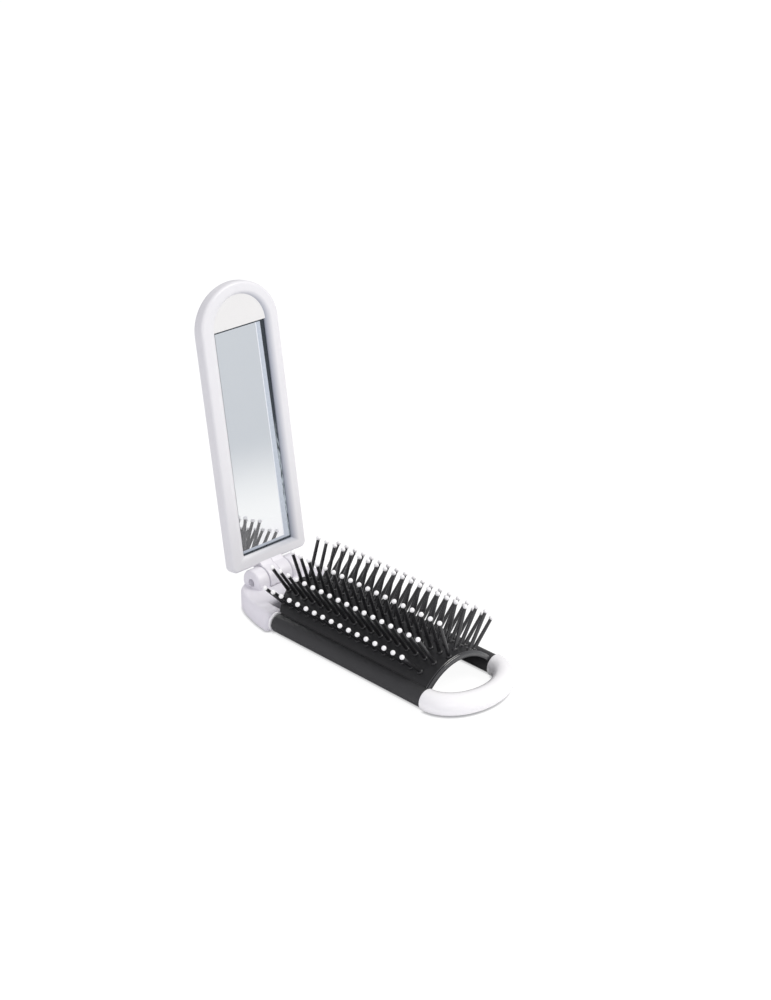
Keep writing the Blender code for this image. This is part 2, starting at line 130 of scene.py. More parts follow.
# The pad's corners at the hinge are cut back by this much where they meet the sleeves.
PAD_CORNER = 5.8 * MM
RIDGE_HEIGHT = 0.60 * MM
RIDGE_WIDTH = 0.75 * MM
RIDGE_COUNT = 2
RIDGE_START = PAD_END_X - RIDGE_COUNT * RIDGE_WIDTH
RIDGE_STEPS = 8
PIN_LEANS = (radians(18.0), radians(33.0), radians(44.0))
PIN_LENGTHS = (15.35 * MM, 14.25 * MM, 12.45 * MM)
ROWS_END = STRIP_STEP * len(PIN_LEANS)
PAD_REACH = ROWS_END + SKIRT_REACH
# The (x, rise) pairs of the pad's plain part, from the hinge to the beads at its loop end.
SHEET_PROFILE = ((PAD_START_X, 0.0), (RIDGE_START, 0.0))
# How far each row stands back from the loop end, in half pitches, from the front row to the rear row.
ROW_STAGGERS = (2, 1, 0, 1, 0, 1)
PIN_PITCH = 4.28 * MM
PIN_END_MARGIN = 2.9 * MM
PIN_START_MARGIN = 2.2 * MM
PIN_ROOT = 0.5 * MM
PIN_BASE_RADIUS = 0.72 * MM
PIN_NECK_RADIUS = 0.60 * MM
FOOT_RADIUS = 1.15 * MM
FOOT_HEIGHT = 0.75 * MM
BALL_RADIUS = 0.86 * MM
PIN_SIDES = 10
BALL_SIDES = 18
BALL_STEPS = 10

# Lid, in its own frame.
LID_LEAN = radians(8.2)
LID_PLACE = Matrix.Translation(HINGE) @ Matrix.Rotation(-LID_LEAN, 4, "Y")


def lid_box(node):
    """Lowest and highest corner of a CAD node in the lid's own frame."""
    back = LID_PLACE.inverted()
    points = [back @ vert.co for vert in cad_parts[node].data.vertices]
    return [Vector(pick(point[axis] for point in points) for axis in range(3)) for pick in (min, max)]


PANEL_LOW = lid_box("lid_panel")[0]
SHELL_HIGH = lid_box("lid_shell")[1]
GLASS_LOW, GLASS_HIGH = lid_box("mirror_glass")
LID_RIM_WIDTH = 2.4 * MM
LID_BOTTOM = PANEL_LOW.z - LID_RIM_WIDTH - FIT_GAP
LID_TOP = SHELL_HIGH.z
LID_HALF_WIDTH = SHELL_HIGH.y
LID_ARCH = 16.3 * MM
LID_CORNER = 2.4 * MM
LID_RIM_X = -0.44 * MM
LID_BACK_X = -5.7 * MM
LID_FLOOR_X = -4.2 * MM
LID_BACK_ROUND = 1.8 * MM
LID_FRONT_ROUND = 1.2 * MM
LID_ARCH_STEPS = 72
LID_CORNER_STEPS = 8
LID_ROUND_STEPS = 8
WEB_BACK_X = -4.7 * MM
WEB_FRONT_X = -0.7 * MM
LUG_SWEEP = 1.45 * pi
# The flat rim rolls over into the well that holds the glass. A mesh attribute holds how much painted shade darkens the
# well.
WELL_PAINTED_SHADE = "well_painted_shade"
WELL_ROLL_START = 3.2 * MM
WELL_ROLL_POWER = 1.25
# The well's painted shade starts at this share of the lid's half width, and is full at its right edge.
PAINTED_SHADE_START = -0.2
PAINTED_SHADE_POWER = 1.2
WELL_SIDE_INSET = LID_HALF_WIDTH - GLASS_HIGH.y
WELL_FOOT_INSET = GLASS_LOW.z - LID_BOTTOM
WELL_HEAD_INSET = 4.7 * MM
WELL_LIP_DROP = 0.15 * MM
WELL_LIP_X = GLASS_HIGH.x - WELL_LIP_DROP
WELL_FLOOR_X = GLASS_LOW.x
HEAD_PANEL_X = -1.15 * MM
HEAD_PANEL_OVERLAP = 0.5 * MM
SILVER_X = GLASS_HIGH.x
GLASS_EDGE_DROP = 0.35 * MM
GLASS_EDGE_X = SILVER_X - GLASS_EDGE_DROP
# Widths of the dark edge, which is painted shade and painted reflection, and the ground band round the glass. On its
# right they run from the head to the foot.
LINE_LEFT = 0.05 * MM
LINE_FOOT = 1.0 * MM
LINE_HEAD = 0.5 * MM
LINE_RIGHT = (2.2 * MM, 0.9 * MM)
BEVEL_RIGHT = (1.8 * MM, 2.2 * MM)
BEVEL_FOOT = 1.0 * MM
GLEAM_WIDTH = 0.35 * MM
# The painted glints in the dark edge fade in over these shares of the glass's height.
GLINT_SHARES = (0.60, 0.42)

# Materials. A noise texture's values lie mostly between these two.
NOISE_LOW = 0.3
NOISE_HIGH = 0.7
GRAIN_DETAIL = 6.0
GRAIN_STRENGTH = 0.5
COAT_ROUGHNESS = 0.08
# Colours of the painted glints in the glass's dark edge.
BRIGHT_GLINT = (0.42, 0.48, 0.52)
FAINT_GLINT = (0.04, 0.055, 0.07)

# Stage: the floor's own colour, its shadow and glow for the camera with painted contact shade, and its glow in the
# mirror, a painted reflection.
WHITE = (1.0, 1.0, 1.0)
FLOOR_HALF = 3.0
FLOOR_CELLS = 8
FLOOR_COLOUR = (0.93, 0.93, 0.94)
FLOOR_SHADOW = (0.14, 0.14, 0.14)
FLOOR_PAINTED_CONTACT = (0.22, 0.22, 0.23)
FLOOR_OPEN = (0.94, 0.94, 0.94)
CONTACT_REACH = 1.0 * MM
SHADOW_END = 0.11
GREY_START = 0.13
GREY_END = 0.34
FLOOR_PAINTED_FAR = (0.575, 0.605, 0.645)
SKY_COLOUR = (0.97, 0.955, 1.0)
SKY_STRENGTH = 0.65
LAMP_AIM = Vector((0.05, 0.0, 0.04))
# Each lamp's name, place, width, power and colour.
LAMPS = (
    ("key", (0.60, 0.40, 0.80), 0.6, 5.6, (1.0, 0.985, 0.94)),
    ("fill", (0.55, -0.60, 0.30), 0.7, 0.8, (0.96, 0.95, 1.0)),
    ("side", (-0.45, -0.80, 0.40), 0.8, 0.35, (0.96, 0.95, 1.0)),
)


# Node helpers.


def node_material(name):
    made = bpy.data.materials.new(name)
    made.use_nodes = True
    return made, made.node_tree.nodes, made.node_tree.links, made.node_tree.nodes["Principled BSDF"]


def noise(nodes, links, scale, detail=3.0, stretch=(1.0, 1.0, 1.0)):
    """A noise texture in object coordinates. The scale is in features per metre."""
    place = nodes.new("ShaderNodeTexCoord")
    mapping = nodes.new("ShaderNodeMapping")
    mapping.inputs["Scale"].default_value = stretch
    links.new(place.outputs["Object"], mapping.inputs["Vector"])
    made = nodes.new("ShaderNodeTexNoise")
    made.inputs["Scale"].default_value = scale
    made.inputs["Detail"].default_value = detail
    links.new(mapping.outputs["Vector"], made.inputs["Vector"])
    return made.outputs["Fac"]


def map_range(nodes, links, source, start, end, low=0.0, high=1.0, interpolation="LINEAR"):
    """A value that runs from low to high while the source runs from start to end."""
    made = nodes.new("ShaderNodeMapRange")
    made.interpolation_type = interpolation
    for name, value in (("From Min", start), ("From Max", end), ("To Min", low), ("To Max", high)):
        made.inputs[name].default_value = value
    links.new(source, made.inputs["Value"])
    return made.outputs["Result"]


def spread(nodes, links, source, low, high):
    """A noise turned into the range from low to high."""
    return map_range(nodes, links, source, NOISE_LOW, NOISE_HIGH, low, high)


def tint(nodes, links, source, low, high):
    """A colour that runs from low to high with the source."""
    made = nodes.new("ShaderNodeMix")
    made.data_type = "RGBA"
    made.inputs["A"].default_value = (*low, 1.0)
    made.inputs["B"].default_value = (*high, 1.0)
    links.new(source, made.inputs["Factor"])
    return made.outputs["Result"]


def bump(nodes, links, source, height, strength):
    made = nodes.new("ShaderNodeBump")
    made.inputs["Distance"].default_value = height
    made.inputs["Strength"].default_value = strength
    links.new(source, made.inputs["Height"])
    return made.outputs["Normal"]


def product(nodes, links, first, second):
    made = nodes.new("ShaderNodeMath")
    made.operation = "MULTIPLY"
    links.new(first, made.inputs[0])
    links.new(second, made.inputs[1])
    return made.outputs["Value"]


def blend(nodes, links, share, first, second):
    """A shader that is the first one where the share is 0, and the second where it is 1."""
    made = nodes.new("ShaderNodeMixShader")
    links.new(share, made.inputs["Fac"])
    links.new(first, made.inputs[1])
    links.new(second, made.inputs[2])
    return made.outputs["Shader"]


def moulded(name, low, high, roughness, patch_scale, grain_scale, grain_height, coat=0.0):
    """Moulded plastic or rubber: a faintly patchy colour and finish over a fine grain."""
    made, nodes, links, shader = node_material(name)
    patches = noise(nodes, links, patch_scale)
    grain = noise(nodes, links, grain_scale, detail=GRAIN_DETAIL)
    links.new(tint(nodes, links, patches, low, high), shader.inputs["Base Color"])
    links.new(spread(nodes, links, grain, *roughness), shader.inputs["Roughness"])
    links.new(bump(nodes, links, grain, grain_height, GRAIN_STRENGTH), shader.inputs["Normal"])
    shader.inputs["Coat Weight"].default_value = coat
    shader.inputs["Coat Roughness"].default_value = COAT_ROUGHNESS
    return made


def streaked(name, low, high, roughness, scale, height, strength, detail=3.0, stretch=(1.0, 1.0, 1.0), metallic=0.0):
    """Metal or glass, where one noise sets the colour, the finish and the bumps."""
    made, nodes, links, shader = node_material(name)
    streaks = noise(nodes, links, scale, detail, stretch)
    links.new(tint(nodes, links, streaks, low, high), shader.inputs["Base Color"])
    links.new(spread(nodes, links, streaks, *roughness), shader.inputs["Roughness"])
    links.new(bump(nodes, links, streaks, height, strength), shader.inputs["Normal"])
    shader.inputs["Metallic"].default_value = metallic
    return made


# Materials.


def gloss_white():
    return moulded("gloss_white", low=(0.91, 0.908, 0.915), high=(0.94, 0.938, 0.945), roughness=(0.18, 0.26),
                   patch_scale=60.0, grain_scale=900.0, grain_height=0.004 * MM, coat=0.25)


def lid_white():
    return moulded("lid_white", low=(0.755, 0.755, 0.775), high=(0.785, 0.785, 0.805), roughness=(0.28, 0.38),
                   patch_scale=60.0, grain_scale=1100.0, grain_height=0.005 * MM)


# A lit copy of the lid's white: it has less blue, as painted light, so that the head panel's face shows neutral.
def head_white_lit_copy():
    return moulded("head_white_lit_copy", low=(0.75, 0.75, 0.742), high=(0.78, 0.78, 0.772), roughness=(0.28, 0.38),
                   patch_scale=60.0, grain_scale=1100.0, grain_height=0.005 * MM)


def well_white_painted_shade():
    """The cover's white, with painted shade that darkens it down into the well as far as the mesh's attribute says."""
    made, nodes, links, shader = node_material("well_white_painted_shade")
    grain = noise(nodes, links, scale=1100.0, detail=GRAIN_DETAIL)
    depth = nodes.new("ShaderNodeAttribute")
    depth.attribute_name = WELL_PAINTED_SHADE
    fall = nodes.new("ShaderNodeMath")
    fall.operation = "POWER"
    fall.inputs[1].default_value = PAINTED_SHADE_POWER
    links.new(depth.outputs["Fac"], fall.inputs[0])
    # Painted shade: the white turns blue grey down into the well.
    links.new(tint(nodes, links, fall.outputs["Value"], low=(0.77, 0.77, 0.79), high=(0.29, 0.32, 0.39)),
              shader.inputs["Base Color"])
    links.new(spread(nodes, links, grain, low=0.28, high=0.38), shader.inputs["Roughness"])
    links.new(bump(nodes, links, grain, height=0.005 * MM, strength=GRAIN_STRENGTH), shader.inputs["Normal"])
    return made


def satin_white():
    return moulded("satin_white", low=(0.82, 0.805, 0.85), high=(0.86, 0.845, 0.89), roughness=(0.30, 0.42),
                   patch_scale=70.0, grain_scale=1400.0, grain_height=0.006 * MM)


def ball_white():
    return moulded("ball_white", low=(0.96, 0.96, 0.96), high=(0.98, 0.98, 0.98), roughness=(0.25, 0.35),
                   patch_scale=200.0, grain_scale=2500.0, grain_height=0.004 * MM)


def sleeve_black():
    return moulded("sleeve_black", low=(0.021, 0.0215, 0.023), high=(0.028, 0.0285, 0.030), roughness=(0.46, 0.60),
                   patch_scale=120.0, grain_scale=4000.0, grain_height=0.010 * MM)


def pad_black():
    return moulded("pad_black", low=(0.008, 0.0085, 0.009), high=(0.013, 0.0135, 0.015), roughness=(0.42, 0.58),
                   patch_scale=150.0, grain_scale=4500.0, grain_height=0.012 * MM)


# The pad's rubber with a glossier finish, and lighter than the pad as painted light, so that its beads show bright
# lines.
def rim_black_lit_copy():
    return moulded("rim_black_lit_copy", low=(0.022, 0.023, 0.025), high=(0.034, 0.035, 0.038), roughness=(0.14, 0.26),
                   patch_scale=300.0, grain_scale=2500.0, grain_height=0.010 * MM, coat=1.0)


def pin_black():
    return moulded("pin_black", low=(0.012, 0.012, 0.013), high=(0.018, 0.018, 0.020), roughness=(0.24, 0.36),
                   patch_scale=300.0, grain_scale=3000.0, grain_height=0.004 * MM, coat=0.5)


def foam():
    return moulded("foam", low=(0.70, 0.70, 0.68), high=(0.78, 0.78, 0.76), roughness=(0.85, 0.95),
                   patch_scale=400.0, grain_scale=5000.0, grain_height=0.05 * MM)


def steel():
    """Drawn wire: scratches run along the pin."""
    return streaked("pin_steel", low=(0.42, 0.42, 0.44), high=(0.60, 0.60, 0.62), roughness=(0.25, 0.40),
                    scale=2500.0, height=0.01 * MM, strength=0.4, stretch=(1.0, 0.05, 1.0), metallic=1.0)


def silvered():
    """The mirror's silver, with faint smears and a little haze."""
    return streaked("silvered", low=(0.90, 0.92, 0.93), high=(0.93, 0.94, 0.95), roughness=(0.006, 0.020),
                    scale=45.0, height=0.0005 * MM, strength=0.1, detail=5.0, stretch=(1.0, 1.0, 0.35), metallic=0.85)


def ground_edge():
    """The glass's ground edge, pale blue."""
    return streaked("ground_edge", low=(0.44, 0.49, 0.56), high=(0.56, 0.61, 0.68), roughness=(0.12, 0.30),
                    scale=1500.0, height=0.01 * MM, strength=0.4, detail=4.0)


def gleam():
    """A painted highlight: the bright line where the silver ends and the ground band starts."""
    return streaked("gleam", low=(0.72, 0.76, 0.82), high=(0.84, 0.87, 0.91), roughness=(0.15, 0.30),
                    scale=900.0, height=0.01 * MM, strength=0.3)


def edge_shadow(name, glint):
    """The glass's edge, dark as painted shade and painted reflection. Only the noise's peaks show in it, as a few
    painted glints along its lower half.
    """
    made, nodes, links, shader = node_material(name)
    glints = noise(nodes, links, scale=2200.0, detail=2.0, stretch=(1.0, 1.0, 0.05))
    place = nodes.new("ShaderNodeTexCoord")
    split = nodes.new("ShaderNodeSeparateXYZ")
    links.new(place.outputs["Object"], split.inputs["Vector"])
    fade = [HINGE.z + share * GLASS_HIGH.z for share in GLINT_SHARES]
    lower = map_range(nodes, links, split.outputs["Z"], *fade)
    shown = product(nodes, links, spread(nodes, links, glints, low=-0.7, high=1.9), lower)
    # Painted glints: the noise's peaks lighten the dark colour in the edge's lower half.
    links.new(tint(nodes, links, shown, low=(0.018, 0.026, 0.034), high=glint), shader.inputs["Base Color"])
    links.new(spread(nodes, links, glints, low=0.20, high=0.45), shader.inputs["Roughness"])
    links.new(bump(nodes, links, glints, height=0.02 * MM, strength=0.4), shader.inputs["Normal"])
    return made


# Mesh helpers.


def shade(mesh):
    mesh.shade_smooth()
    mesh.set_sharp_from_angle(angle=SHARP_ANGLE)


def finish_mesh(name, work, look=None, place=Matrix()):
    """A mesh object of a bmesh, moved to its place, with clean normals."""
    bmesh.ops.remove_doubles(work, verts=work.verts, dist=MERGE_DISTANCE)
    bmesh.ops.recalc_face_normals(work, faces=work.faces)
    bmesh.ops.transform(work, matrix=place, verts=work.verts)
    mesh = bpy.data.meshes.new(name)
    work.to_mesh(mesh)
    work.free()
    shade(mesh)
    made = bpy.data.objects.new(name, mesh)
    bpy.context.scene.collection.objects.link(made)
    if look is not None:
        mesh.materials.append(look)
    return made


def add_skin(work, rings, capped=True):
    """Faces through a list of rings of points that are all as long. Returns the rings' new corners."""
    rows = [[work.verts.new(point) for point in ring] for ring in rings]
    count = len(rows[0])
    for near, far in zip(rows, rows[1:]):
        for step in range(count):
            after = (step + 1) % count
            work.faces.new((near[step], near[after], far[after], far[step]))
    if capped:
        work.faces.new(rows[0])
        work.faces.new(rows[-1])
    return rows


def full_turns(sides):
    """Angles round a circle."""
    return [2.0 * pi * step / sides for step in range(sides)]


def quarter_turns(steps):
    """Angles from 0 to a quarter turn."""
    return [0.5 * pi * step / steps for step in range(steps + 1)]


def add_lathe(work, start, along, profile, sides):
    """A turned shape. The profile is (distance from the start, radius) pairs, and each radius is above zero."""
    turn = Z_AXIS.rotation_difference(along)
    rings = []
    for height, radius in profile:
        rings.append([start + turn @ Vector((radius * cos(angle), radius * sin(angle), height))
                      for angle in full_turns(sides)])
    add_skin(work, rings)


def rounded_rod(length, radius, rounding):
    """The profile of a rod with both rims rounded."""
    profile = []
    for turn in quarter_turns(ROUND_STEPS):
        profile.append((rounding - rounding * cos(turn), radius - rounding + rounding * sin(turn)))
    return profile + [(length - height, wide) for height, wide in reversed(profile)]


def evaluated_mesh(made):
    bpy.context.view_layer.update()
    graph = bpy.context.evaluated_depsgraph_get()
    return bpy.data.meshes.new_from_object(made.evaluated_get(graph))


def slab(name, outline, half_height, rounding, look, place):
    """A flat outline of (x, y) points made into a plate with rounded edges, centred on its own XY plane."""
    curve = bpy.data.curves.new(name, "CURVE")
    curve.dimensions = "2D"
    curve.fill_mode = "BOTH"
    curve.extrude = half_height - rounding
    curve.bevel_depth = rounding
    curve.bevel_resolution = ROUND_STEPS
    curve.offset = -rounding
    spline = curve.splines.new("POLY")
    spline.points.add(len(outline) - 1)
    for point, (x, y) in zip(spline.points, outline):
        point.co = (x, y, 0.0, 1.0)
    spline.use_cyclic_u = True
    drawn = bpy.data.objects.new(name, curve)
    bpy.context.scene.collection.objects.link(drawn)
    work = bmesh.new()
    work.from_mesh(evaluated_mesh(drawn))
    bpy.data.objects.remove(drawn)
    return finish_mesh(name, work, look, place)


def smooth_line(points, steps):
    """Catmull-Rom points through a line of points."""
    points = [Vector(point) for point in points]
    ends = [2.0 * points[0] - points[1]] + points + [2.0 * points[-1] - points[-2]]
    line = []
    for before, start, end, after in zip(ends, ends[1:], ends[2:], ends[3:]):
        for step in range(steps):
            t = step / steps
            line.append(0.5 * (2.0 * start + (end - before) * t + (2.0 * before - 5.0 * start + 4.0 * end - after)
                               * t ** 2 + (3.0 * start - before - 3.0 * end + after) * t ** 3))
    return line + [points[-1]]


def cut(made, cutter):
    """Take one object's shape out of another, and drop the cutter."""
    modifier = made.modifiers.new(cutter.name, "BOOLEAN")
    modifier.object = cutter
    modifier.operation = "DIFFERENCE"
    modifier.solver = "EXACT"
    mesh = evaluated_mesh(made)
    made.modifiers.clear()
    made.data = mesh
    shade(mesh)
    bpy.data.objects.remove(cutter)


def turned(name, starts, along, profile, sides, look=None):
    """One mesh with the same turned shape at each start."""
    work = bmesh.new()
    for start in starts:
        add_lathe(work, start, along, profile, sides)
    return finish_mesh(name, work, look)


def block(name, low, high):
    """A box between two corners."""
    work = bmesh.new()
    middle = (Vector(low) + Vector(high)) / 2.0
    bmesh.ops.create_cube(work, size=1.0, matrix=Matrix.LocRotScale(middle, None, Vector(high) - Vector(low)))
    return finish_mesh(name, work)


def join(target, others):
    """Put other objects' meshes into one object."""
    work = bmesh.new()
    for made in [target] + others:
        work.from_mesh(made.data)
    work.to_mesh(target.data)
    work.free()
    shade(target.data)
    for made in others:
        bpy.data.objects.remove(made)
    return target


def seat(made, body, slot, *nodes):
    """Let a finished piece ride its body in place of CAD nodes."""
    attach(made, body)
    if nodes:
        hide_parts(*nodes)


# The object's pieces.


def loop_rings():
    """The (place, direction, radius) of each ring along the end loop, from the front sleeve to the rear one."""
    path = []
    for step in range(LOOP_STEPS + 1):
        turn = -pi / 2.0 + pi * step / LOOP_STEPS
        reach = LOOP_REACH - LOOP_STUB
        path.append(Vector((LOOP_START_X + LOOP_STUB + reach * cos(turn), RAIL_Y * sin(turn), RAIL_Z)))
    ways = [X_AXIS] + [(after - before).normalized() for before, after in zip(path, path[2:])] + [-X_AXIS]
    shoulder = []
    for turn in quarter_turns(ROUND_STEPS)[:-1]:
        place = Vector((LOOP_START_X + LOOP_STUB * (1.0 - cos(turn)), -RAIL_Y, RAIL_Z))
        shoulder.append((place, X_AXIS, LOOP_RADIUS - LOOP_SHOULDER + LOOP_SHOULDER * sin(turn)))
    far_shoulder = [(Vector((place.x, RAIL_Y, place.z)), -X_AXIS, radius) for place, way, radius in reversed(shoulder)]
    return shoulder + [(place, way, LOOP_RADIUS) for place, way in zip(path, ways)] + far_shoulder


def bow(look):
    """The end loop, with rounded shoulders against the sleeves, and the rods inside them."""
    work = bmesh.new()
    rings = []
    for place, way, radius in loop_rings():
        across = way.cross(Z_AXIS)
        rings.append([place + radius * (cos(angle) * across + sin(angle) * Z_AXIS)
                      for angle in full_turns(TUBE_SIDES)])
    add_skin(work, rings)
    rod_start = COLLAR_LOW.x - CUT_OVERRUN
    rod = rounded_rod(LOOP_START_X + LOOP_STUB - rod_start, ROD_RADIUS, EDGE_ROUND)
    for side in (-1.0, 1.0):
        add_lathe(work, Vector((rod_start, side * RAIL_Y, RAIL_Z)), X_AXIS, rod, TUBE_SIDES)
    seat(finish_mesh("bow_skin", work, look), "frame", "white_gloss", "bow")


def yoke_outline():
    """The nose's outline as (x, y): a rounded back, and two arms with a straight crossbar between them."""
    length = YOKE_HIGH.x - YOKE_LOW.x
    half_width = YOKE_HIGH.y
    side = [(YOKE_LOW.x + along * length, across * half_width) for along, across in YOKE_SIDE_SHARES]
    side = [(x, y) for x, y in smooth_line(side, YOKE_SMOOTH_STEPS) if x < YOKE_HIGH.x - YOKE_ARM_ROUND]
    arm_end = []
    for turn in quarter_turns(ROUND_STEPS):
        arm_end.append((YOKE_HIGH.x - YOKE_ARM_ROUND * (1.0 - cos(turn)),
                        half_width - YOKE_ARM_ROUND * (1.0 - sin(turn))))
    half = [(YOKE_CROSSBAR_X, YOKE_INNER_Y), (YOKE_HIGH.x, YOKE_INNER_Y)] + arm_end + side
    return half + [(x, -y) for x, y in reversed(half)]


def knuckle(side, look):
    """One of the yoke's hinge knuckles, with a hole in its outer end."""
    profile = rounded_rod(KNUCKLE_OUTER_Y - KNUCKLE_INNER_Y, BARREL_RADIUS, KNUCKLE_ROUND)
    made = turned("knuckle", [HINGE + side * KNUCKLE_INNER_Y * Y_AXIS], side * Y_AXIS, profile, BARREL_SIDES, look)
    hole_start = HINGE + side * (KNUCKLE_OUTER_Y - PIN_HOLE_DEPTH) * Y_AXIS
    hole = rounded_rod(PIN_HOLE_DEPTH + CUT_OVERRUN, PIN_HOLE_RADIUS, EDGE_ROUND)
    cut(made, turned("hole", [hole_start], side * Y_AXIS, hole, BARREL_SIDES))
    return made


def yoke(look):
    """The rounded nose with the two hinge knuckles on its back."""
    half_height = YOKE_CORNER_Z / 2.0
    made = slab("yoke_skin", yoke_outline(), half_height, YOKE_ROUND, look, Matrix.Translation(half_height * Z_AXIS))
    trough = rounded_rod(2.0 * KNUCKLE_INNER_Y, TROUGH_RADIUS, EDGE_ROUND)
    cut(made, turned("trough", [HINGE - KNUCKLE_INNER_Y * Y_AXIS], Y_AXIS, trough, BARREL_SIDES))
    cut(made, block("slot", (YOKE_LOW.x - CUT_OVERRUN, -KNUCKLE_INNER_Y, HINGE.z - TROUGH_RADIUS),
                    (0.0, KNUCKLE_INNER_Y, HINGE.z + TROUGH_RADIUS)))
    knuckles = [knuckle(side, look) for side in (-1.0, 1.0)]
    seat(join(made, knuckles), "frame", "white_satin", "yoke")


def hinge_pin(look):
    """The steel pin, whose ends lie deep in the knuckles' holes."""
    reach = KNUCKLE_OUTER_Y - PIN_HOLE_DEPTH + EDGE_ROUND
    profile = rounded_rod(2.0 * reach, PIN_RADIUS, EDGE_ROUND)
    made = turned("hinge_pin_skin", [HINGE - reach * Y_AXIS], Y_AXIS, profile, TUBE_SIDES, look)
    seat(made, "frame", "pin_steel", "hinge_pin")


def collar(name, side, look):
    """The white ring between the yoke and a sleeve."""
    start = Vector((COLLAR_LOW.x, side * RAIL_Y, RAIL_Z))
    profile = rounded_rod(COLLAR_HIGH.x - COLLAR_LOW.x, COLLAR_RADIUS, EDGE_ROUND)
    seat(turned(name + "_skin", [start], X_AXIS, profile, TUBE_SIDES, look), "frame", "white_gloss", name)


def arc_shell(name, start_angle, end_angle, steps, side, profile, look):
    """A strip of the pad's arched sheet between two angles from the top. The profile is (x, rise) pairs."""
    inner = ARCH_RADIUS - PAD_THICKNESS
    rings = []
    for x, rise in profile:
        ring = []
        for radius in (ARCH_RADIUS + rise, inner):
            row = []
            for step in range(steps + 1):
                angle = start_angle + (end_angle - start_angle) * step / steps
                cut_back = PAD_CORNER * (angle / PAD_REACH) ** 2 if x == PAD_START_X else 0.0
                row.append(Vector((x + cut_back, side * radius * sin(angle), ARCH_CENTRE_Z + radius * cos(angle))))
            ring += row if radius > inner else list(reversed(row))
        rings.append(ring)
    work = bmesh.new()
    add_skin(work, rings)
    return finish_mesh(name, work, look)


def beads():
    """The (x, rise) pairs of the beads round the pad's loop end."""
    profile = []
    for step in range(RIDGE_COUNT * RIDGE_STEPS + 1):
        share = step / RIDGE_STEPS
        profile.append((RIDGE_START + share * RIDGE_WIDTH, RIDGE_HEIGHT * abs(sin(pi * share))))
    return profile


def sleeve(name, side, body, look, pad_look, rim_look):
    """A black tube round a rod, and the edge of the pad that leaves it."""
    start = Vector((SLEEVE_LOW.x, side * RAIL_Y, RAIL_Z))
    profile = rounded_rod(SLEEVE_HIGH.x - SLEEVE_LOW.x, SLEEVE_RADIUS, EDGE_ROUND)
    seat(turned(name + "_skin", [start], X_AXIS, profile, TUBE_SIDES, look), body, "sleeve_rubber", name)
    for suffix, profile, surface in (("_pad_edge", SHEET_PROFILE, pad_look), ("_pad_rim", beads(), rim_look)):
        edge = arc_shell(name + suffix, ROWS_END, PAD_REACH, SKIRT_ARC_STEPS, side, profile, surface)
        seat(edge, body, "pad_rubber")


def pin_profile(length):
    """A pin from its foot's collar to the middle of its ball."""
    foot = [(-PIN_ROOT, FOOT_RADIUS)]
    for turn in quarter_turns(ROUND_STEPS):
        foot.append((FOOT_HEIGHT * sin(turn), PIN_BASE_RADIUS + (FOOT_RADIUS - PIN_BASE_RADIUS) * cos(turn)))
    return foot + [(length, PIN_NECK_RADIUS)]


def ball_profile(length):
    """A ball with small flats at both ends."""
    profile = []
    for step in range(BALL_STEPS + 1):
        turn = pi * (step + 0.5) / (BALL_STEPS + 1)
        profile.append((length - BALL_RADIUS * cos(turn), BALL_RADIUS * sin(turn)))
    return profile


def pad_row(number, stagger, pad_look, rim_look, shaft_look, ball_look):
    """One strip of the pad with its pins, and their balls."""
    name, body = f"pad_row_{number}", f"row_{number}"
    side = -1.0 if number <= len(ROW_STAGGERS) // 2 else 1.0
    place = floor(abs(number - (len(ROW_STAGGERS) + 1) / 2.0))
    arch_angle = STRIP_STEP * (place + 0.5)
    edges = (arch_angle - STRIP_STEP / 2.0, arch_angle + STRIP_STEP / 2.0)
    sheet = arc_shell(name + "_sheet", *edges, STRIP_ARC_STEPS, side, SHEET_PROFILE, pad_look)
    seat(sheet, body, "pad_rubber", name)
    rim = arc_shell(name + "_rim", *edges, STRIP_ARC_STEPS, side, beads(), rim_look)
    seat(rim, body, "pad_rubber")
    foot = Vector((0.0, side * ARCH_RADIUS * sin(arch_angle), ARCH_CENTRE_Z + ARCH_RADIUS * cos(arch_angle)))
    last_x = PAD_END_X - PIN_END_MARGIN - stagger * PIN_PITCH / 2.0
    count = 1 + floor((last_x - PAD_START_X - PIN_START_MARGIN) / PIN_PITCH)
    feet = [foot + (last_x - PIN_PITCH * step) * X_AXIS for step in range(count)]
    along = Vector((0.0, side * sin(PIN_LEANS[place]), cos(PIN_LEANS[place])))
    length = PIN_LENGTHS[place]
    pins = turned(name + "_pins", feet, along, pin_profile(length), PIN_SIDES, shaft_look)
    seat(pins, body, "pad_rubber")
    balls = turned(name + "_balls", feet, along, ball_profile(length), BALL_SIDES, ball_look)
    seat(balls, body, "white_satin")


def lid_outline(side_inset, foot_inset, head_inset):
    """The lid's outline as (y, z): square foot with rounded corners, elliptic head."""
    half = LID_HALF_WIDTH - side_inset
    foot = LID_BOTTOM + foot_inset
    shoulder = LID_TOP - LID_ARCH
    corner = max(LID_CORNER - side_inset, EDGE_ROUND)
    points = []
    for turn in quarter_turns(LID_CORNER_STEPS):
        points.append((half - corner + corner * sin(turn), foot + corner - corner * cos(turn)))
    for step in range(LID_ARCH_STEPS + 1):
        turn = pi * step / LID_ARCH_STEPS
        points.append((half * cos(turn), shoulder + (LID_ARCH - head_inset) * sin(turn)))
    for turn in quarter_turns(LID_CORNER_STEPS):
        points.append((-half + corner - corner * cos(turn), foot + corner - corner * sin(turn)))
    return points


def lid_ring(inset, x):
    return [Vector((x, y, z)) for y, z in lid_outline(inset, inset, inset)]


def quarter_round(radius, edge_x, toward):
    """(inset, x) pairs round an outer edge, from the side wall to the face. Toward is the face's sign along X."""
    pairs = []
    for turn in quarter_turns(LID_ROUND_STEPS):
        pairs.append((radius - radius * cos(turn), edge_x - toward * radius * (1.0 - sin(turn))))
    return pairs


